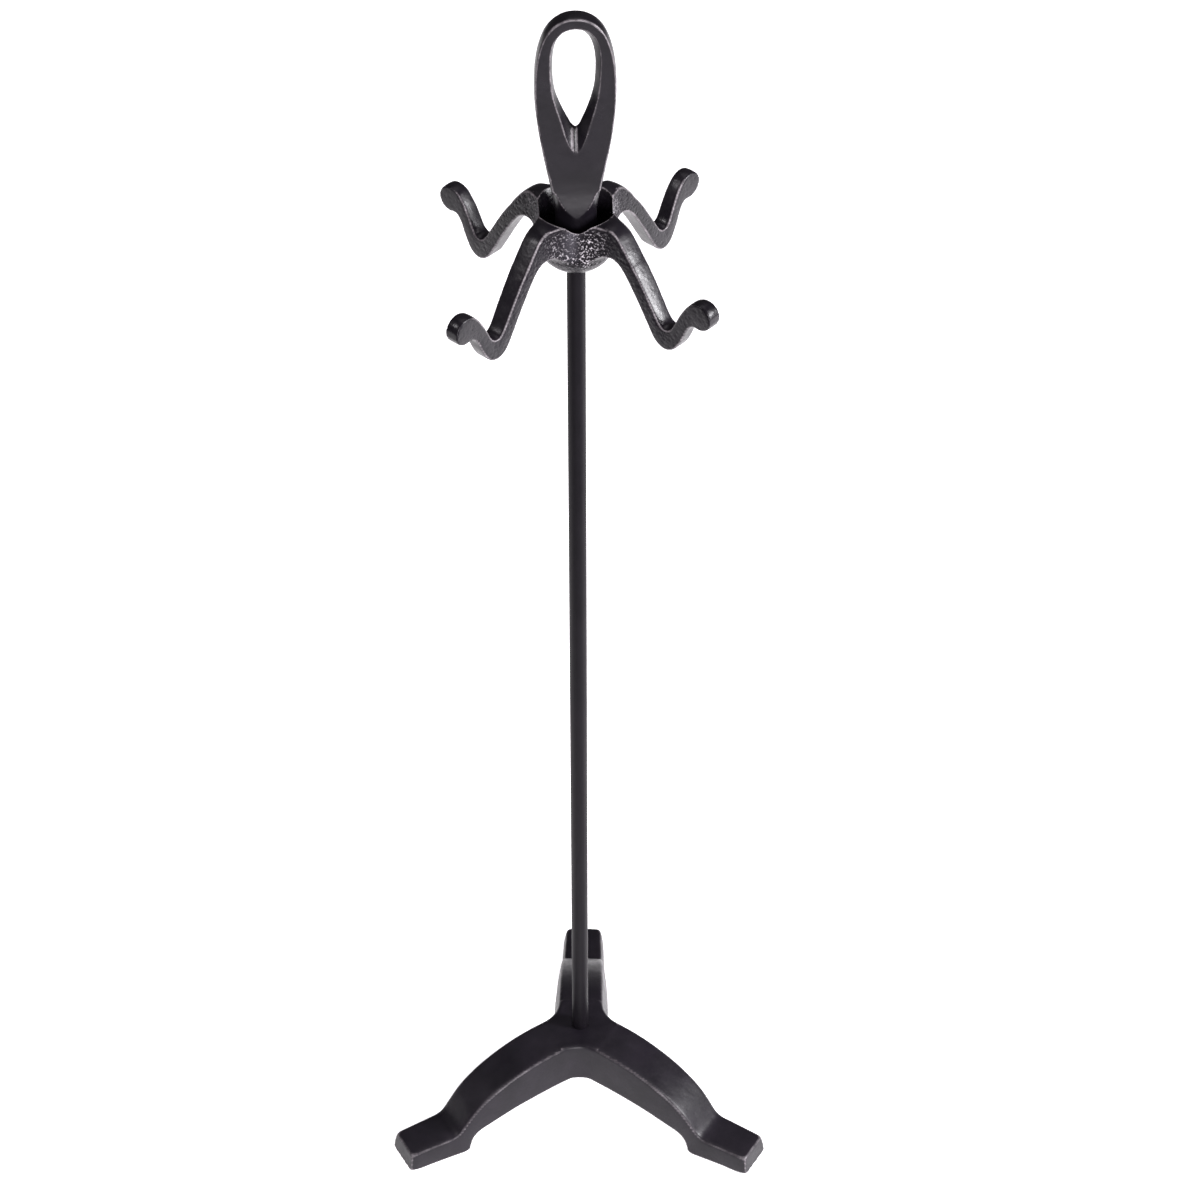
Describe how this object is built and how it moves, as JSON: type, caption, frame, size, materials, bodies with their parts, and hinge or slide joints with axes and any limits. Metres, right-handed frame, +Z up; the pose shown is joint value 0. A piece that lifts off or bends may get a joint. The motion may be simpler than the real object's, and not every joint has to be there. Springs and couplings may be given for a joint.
{
  "type": "mug tree",
  "caption": "Black cast-iron mug tree: low base with splayed arched legs, slim round rod, crown of upturned hooks and a tall needle-eye lifting handle.",
  "frame": {"origin": "on the floor under the middle of the footprint's box; the rod's axis stands 16 mm from it towards -Y", "axes": "+Z up along the rod, +Y along the single rear leg, +X to the object's right seen from the front (from -Y)"},
  "size_m": [0.1394, 0.121, 0.4736],
  "materials": {
    "black_cast_iron": "satin black, sand-cast grain showing on the sides",
    "black_rod": "satin black",
    "zinc_steel": "bright zinc",
    "pad_rubber": "matt black"
  },
  "bodies": {
    "stand": {"base_casting": "black_cast_iron", "rod": "black_rod", "base_washer": "zinc_steel", "base_nut": "zinc_steel", "foot_pad_rear": "pad_rubber", "foot_pad_left": "pad_rubber", "foot_pad_right": "pad_rubber"},
    "crown": {"crown_casting": "black_cast_iron"},
    "handle": {"loop_handle": "black_cast_iron"}
  },
  "joints": [
    {"name": "crown_turn", "type": "hinge", "parent": "stand", "child": "crown", "pos_m": [0, -0.016, 0.3915], "axis": [0, 0, 1], "continuous": true},
    {"name": "handle_screw", "type": "hinge", "parent": "stand", "child": "handle", "pos_m": [0, -0.016, 0.4], "axis": [0, 0, 1], "continuous": true}
  ]
}
